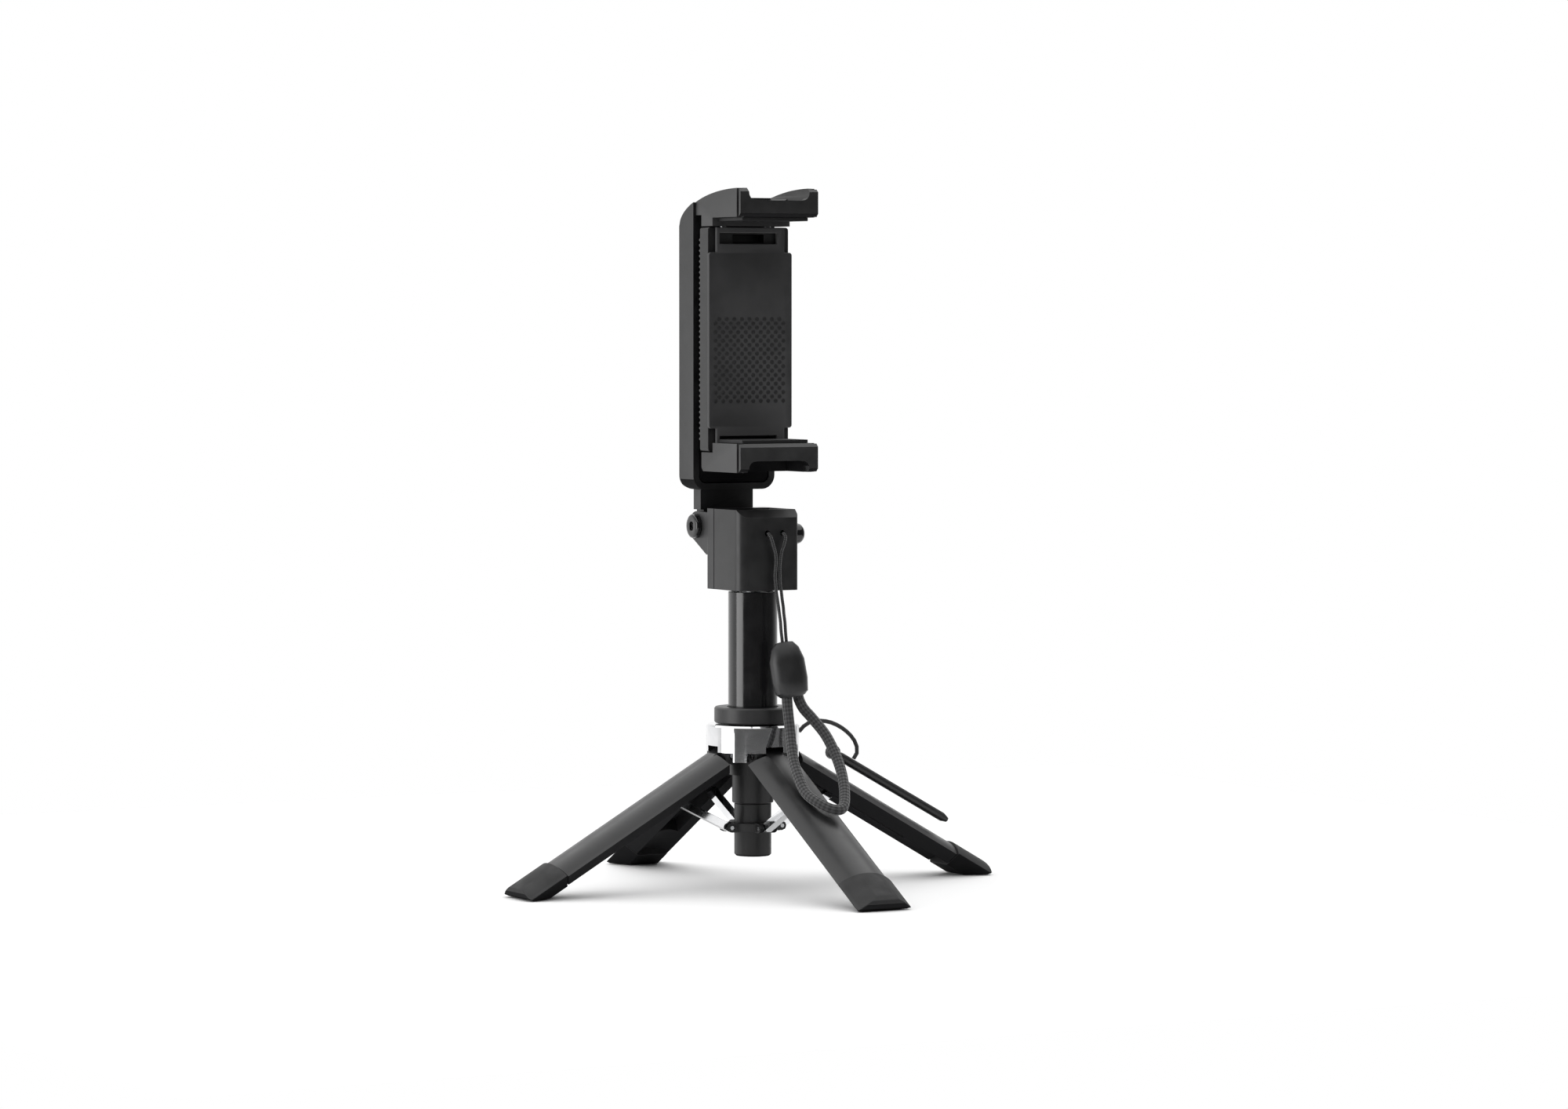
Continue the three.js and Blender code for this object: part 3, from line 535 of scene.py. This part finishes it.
# Painted shade under the lower jaw and in the hollow above it.
second_material(PIECES["lower_jaw"], PAINTED_SHADE, in_lower_recess)
second_material(PIECES["hub_shell"], SHELL, below_rim)

# ---- turned pieces, by [radius, height] along their own axis ---------------------------------
ALONG_Z = Matrix.Identity(4)


def along_x(y, z, sign=1):
    """Turns a piece's own +Z to the object's +X, or to -X, and moves its axis to y, z."""
    return Matrix.Translation((0, y * MM, z * MM)) @ Matrix.Rotation(sign * math.pi / 2, 4, "Y")


def turned_piece(node, outline, place, material):
    bm = turned_bmesh([(radius * MM, height * MM) for radius, height in outline])
    bm.transform(place)
    return stand_for(finished(node + "_turned", bm, material), node)


def ring_outline(inner, outer, low, high, chamfer):
    return [
        (inner, low), (outer - chamfer, low), (outer, low + chamfer),
        (outer, high - chamfer), (outer - chamfer, high), (inner, high),
    ]


CAP_OUTLINE = [
    (0, 9.6), (3.4, 9.6), (3.4, 10.45), (3.25, 10.72), (2.95, 10.92), (2.5, 11),
    (1.5, 11), (1.32, 10.88), (1.25, 10.3), (0, 10.3),
]
BUTTON_OUTLINE = [
    (0, 6.7), (3.4, 6.7), (3.4, 7.5), (2.9, 7.5), (2.9, 11.6), (2.72, 12.3),
    (2.2, 12.95), (1.3, 13.42), (0, 13.6),
]
HINGE_AXIS = (16, 100.3)
BUTTON_AXIS = (-4.3, 98.5)
turned_piece("outer_tube", ring_outline(6.35, 6.9, 46.1, 82.4, 0.15), ALONG_Z, GLOSS)
turned_piece("hub_collar", ring_outline(7.2, 10.8, 45.7, 50.2, 0.4), ALONG_Z, SHELL)
turned_piece("centre_post", ring_outline(5, 5.8, 23.3, 44.4, 0.2), ALONG_Z, SHELL)
turned_piece("hinge_cap_right", CAP_OUTLINE, along_x(*HINGE_AXIS), GLOSS)
turned_piece("hinge_cap_left", CAP_OUTLINE, along_x(*HINGE_AXIS, -1), GLOSS)
turned_piece("shutter_button", BUTTON_OUTLINE, along_x(*BUTTON_AXIS), GLOSS)


# ---- the grip dots on the panel and the ribs along the clamp ----------------------------------
STUD_ROOT = 0.1 * MM


def studs(name, centres, outward, radius, tall, material):
    """Low domed studs of the clamp, one at each centre, that stand out along outward."""
    bm = bmesh.new()
    turn = Vector((0, 0, 1)).rotation_difference(Vector(outward)).to_matrix().to_4x4()
    for centre in centres:
        stud = turned_bmesh(
            [
                (0, -STUD_ROOT), (radius, -STUD_ROOT), (radius, 0.5 * tall),
                (0.7 * radius, tall), (0, tall),
            ],
            sides=8,
        )
        stud.transform(Matrix.Translation(Vector(centre) * MM) @ turn)
        loose = bpy.data.meshes.new(name)
        stud.to_mesh(loose)
        stud.free()
        bm.from_mesh(loose)
        bpy.data.meshes.remove(loose)
    piece = finished(name, bm, material)
    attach(piece, "clamp")


DOT_PITCH = 2.4
DOT_ROWS, DOT_COLUMNS = 20, 10
DOT_RADIUS, DOT_TALL = 0.62, 0.16
GRIP_LEFT, GRIP_LOW, PANEL_FRONT = -11.2, 135.6, 1.2
dots = []
for row in range(DOT_ROWS):
    odd = row % 2
    for column in range(DOT_COLUMNS - odd):
        x = GRIP_LEFT + DOT_PITCH * (column + 0.5 * odd)
        dots.append((x, PANEL_FRONT, GRIP_LOW + 0.5 * DOT_PITCH * row))
studs("grip_dots", dots, (0, -1, 0), DOT_RADIUS * MM, DOT_TALL * MM, RUBBER)

RIB_PITCH, RIB_ROWS, RIB_LOW = 1.5, 38, 125
RIB_RADIUS, RIB_TALL = 0.55, 1.1
RIB_X, CLAMP_BACK = 12.1, 7.4
ribs = [
    (x, CLAMP_BACK, RIB_LOW + RIB_PITCH * row) for x in (-RIB_X, RIB_X) for row in range(RIB_ROWS)
]
studs("clamp_ribs", ribs, (0, 1, 0), RIB_RADIUS * MM, RIB_TALL * MM, PANEL)


# ---- the clamp's springs, which the rising guide rods press together ---------------------------
ROD_X, ROD_Y = 7, 4.4
SPRING_LOW, SPRING_HIGH = 132.5, 177.9
SPRING_TURNS = 13
COIL_RADIUS, WIRE_RADIUS = 1.65, 0.25
COIL_STEPS = 18  # points in each turn
CLOSED_RISE = 0.6  # of the closed turn at each end


def clamp_spring(node, x):
    """A compression spring with a closed turn at each end, which shortens towards its top."""
    path = []
    open_turns = SPRING_TURNS - 2
    span = SPRING_HIGH - SPRING_LOW - 2 * WIRE_RADIUS - 2 * CLOSED_RISE
    for i in range(SPRING_TURNS * COIL_STEPS + 1):
        turn = i / COIL_STEPS
        closed = min(turn, 1) + max(turn - SPRING_TURNS + 1, 0)
        opened = min(max(turn - 1, 0), open_turns) / open_turns
        z = SPRING_LOW + WIRE_RADIUS + CLOSED_RISE * closed + opened * span
        angle = 2 * math.pi * turn
        centre = (x + COIL_RADIUS * math.cos(angle), ROD_Y + COIL_RADIUS * math.sin(angle), z)
        path.append(Vector(centre) * MM)
    spring = swept_tube(node + "_coil", path, WIRE_RADIUS * MM, STEEL, sides=8)
    stand_for(spring, node)
    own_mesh(spring)


clamp_spring("clamp_spring_left", -ROD_X)
clamp_spring("clamp_spring_right", ROD_X)

for node, piece in NODES.items():
    if not piece.hide_render:
        piece.data.materials.clear()
        piece.data.materials.append(FINISH_OF[SLOT_OF[node]])


# ---- floor and light ---------------------------------------------------------------------------
FLOOR_HALF = 0.3
FLOOR_DROP = 0.2 * MM
BRIGHTEST_WAY = (0, 0.86, -0.5)
FADE_FROM, FADE_TO = -0.35, 0.8
DIM, BRIGHT = 0.1, 1.05
LIT_POINT = (0, 0, 0.09)


def add_floor():
    bm = bmesh.new()
    bmesh.ops.create_grid(bm, x_segments=1, y_segments=1, size=FLOOR_HALF)
    material, nodes, links = new_material("pale_floor")
    shader = nodes["Principled BSDF"]
    grey = add_noise(nodes, links, 3)
    tint = add_tint(nodes, links, grey, (0.88, 0.88, 0.88), (0.92, 0.92, 0.92))
    links.new(tint, shader.inputs["Base Color"])
    shader.inputs["Roughness"].default_value = 0.8
    floor = finished("floor", bm, material)
    floor.location.z = -FLOOR_DROP


def add_surroundings():
    """A pale backdrop, whose light comes mostly from low down behind the object."""
    world = bpy.data.worlds.new("studio")
    world.use_nodes = True
    nodes, links = world.node_tree.nodes, world.node_tree.links
    direction = nodes.new("ShaderNodeTexCoord")
    toward = nodes.new("ShaderNodeVectorMath")
    toward.operation = "DOT_PRODUCT"
    toward.inputs[1].default_value = BRIGHTEST_WAY
    fade = nodes.new("ShaderNodeMapRange")
    fade.interpolation_type = "SMOOTHSTEP"
    fade.inputs["From Min"].default_value = FADE_FROM
    fade.inputs["From Max"].default_value = FADE_TO
    fade.inputs["To Min"].default_value = DIM
    fade.inputs["To Max"].default_value = BRIGHT
    links.new(direction.outputs["Generated"], toward.inputs[0])
    links.new(toward.outputs["Value"], fade.inputs["Value"])
    seen = nodes.new("ShaderNodeLightPath")
    strength = nodes.new("ShaderNodeMix")
    strength.inputs["B"].default_value = 1
    links.new(seen.outputs["Is Camera Ray"], strength.inputs["Factor"])
    links.new(fade.outputs["Result"], strength.inputs["A"])
    links.new(strength.outputs["Result"], nodes["Background"].inputs["Strength"])
    nodes["Background"].inputs["Color"].default_value = (1, 1, 1, 1)
    bpy.context.scene.world = world


def add_light(kind, name, place, power, **settings):
    data = bpy.data.lights.new(name, kind)
    data.energy = power
    for setting, value in settings.items():
        setattr(data, setting, value)
    light = bpy.data.objects.new(name, data)
    light.location = place
    aim = Vector(LIT_POINT) - light.location
    light.rotation_euler = aim.to_track_quat("-Z", "Y").to_euler()
    bpy.context.scene.collection.objects.link(light)


add_floor()
add_surroundings()
add_light("SUN", "ceiling", (0, 0, 1), 3, angle=math.radians(110))
add_light("AREA", "key", (-0.95, 0.06, 0.14), 4, size=0.6)
bpy.context.scene.view_settings.view_transform = "Standard"
